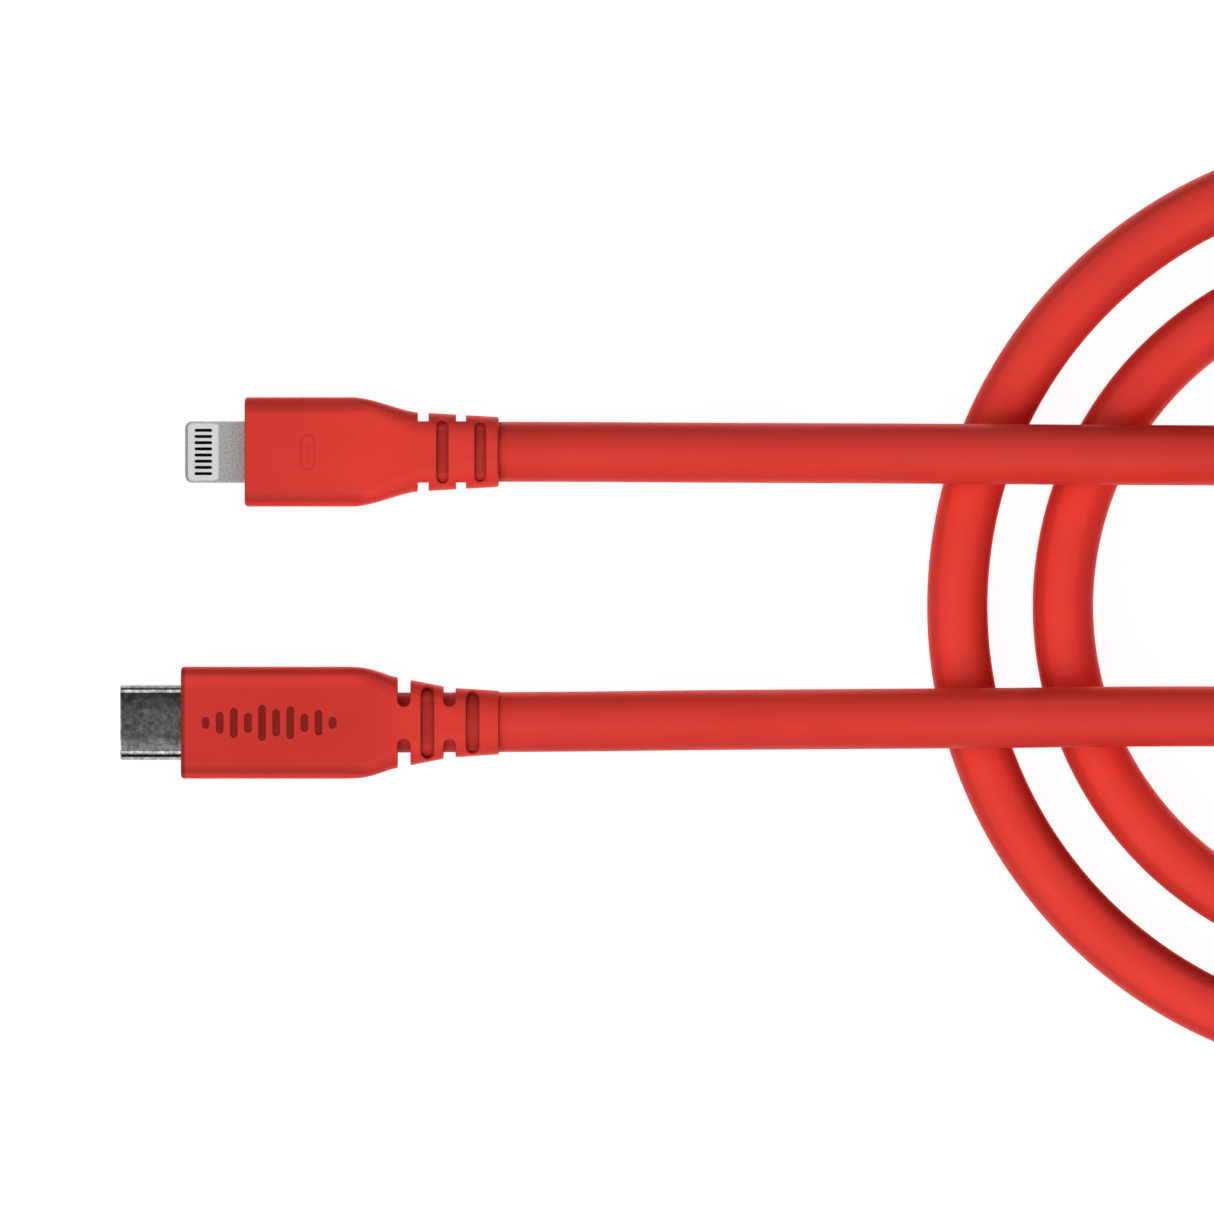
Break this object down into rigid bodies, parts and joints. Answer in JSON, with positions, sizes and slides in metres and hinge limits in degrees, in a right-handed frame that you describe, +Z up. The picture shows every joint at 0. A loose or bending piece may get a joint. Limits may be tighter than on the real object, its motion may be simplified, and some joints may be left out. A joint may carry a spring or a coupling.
{
  "type": "usb-c to eight-contact tab plug cable",
  "caption": "Flexible round charging and data cable in a flat open coil, with a USB-C plug on one end and a flat tab plug on the other, each in a slotted strain relief.",
  "frame": {"origin": "on the surface that the cable lies on, at the bottom centre of the two plugs together", "axes": "+Z up out of the surface; both plugs point along -X and the coil lies on the +X side; +Y runs from the USB-C plug towards the tab plug"},
  "size_m": [0.2055, 0.1046, 0.0205],
  "materials": {
    "red_jacket": "satin soft elastomer",
    "dark_red_inlay": "satin",
    "usb_shell_steel": "drawn and plated",
    "black_plastic": "moulded",
    "gold_contact": "gold plated",
    "spring_steel": "bright",
    "can_steel": "tinned",
    "board_green": "solder mask",
    "chip_black": "moulded",
    "braid_copper": "tinned braid",
    "wire_insulation": "extruded",
    "inner_mould": "moulded",
    "tab_metal": "matte blasted",
    "grey_carrier": "moulded",
    "black_contact": "dark plated"
  },
  "bodies": {
    "root": {"usb_c_shell": "usb_shell_steel", "usb_c_insulator": "black_plastic", "usb_c_contacts_upper": "gold_contact", "usb_c_contacts_lower": "gold_contact", "usb_c_latch_spring": "spring_steel", "usb_c_ground_spring_upper": "spring_steel", "usb_c_ground_spring_lower": "spring_steel", "usb_c_board": "board_green", "usb_c_board_parts": "chip_black", "usb_c_can_upper": "can_steel", "usb_c_can_lower": "can_steel", "usb_c_crimp_ring": "spring_steel", "usb_c_braid": "braid_copper", "usb_c_wires": "wire_insulation", "usb_c_inner_mould": "inner_mould", "usb_c_housing": "red_jacket", "usb_c_mark": "dark_red_inlay", "tab_blade": "tab_metal", "tab_contact_carrier": "grey_carrier", "tab_contacts_upper": "black_contact", "tab_contacts_lower": "black_contact", "tab_board": "board_green", "tab_controller": "chip_black", "tab_power_chip": "chip_black", "tab_board_parts": "chip_black", "tab_can_upper": "can_steel", "tab_can_lower": "can_steel", "tab_crimp_ring": "spring_steel", "tab_braid": "braid_copper", "tab_wires": "wire_insulation", "tab_inner_mould": "inner_mould", "tab_housing": "red_jacket", "cord_coil": "red_jacket", "cord_tab_end": "red_jacket", "cord_usb_end": "red_jacket"}
  },
  "joints": []
}
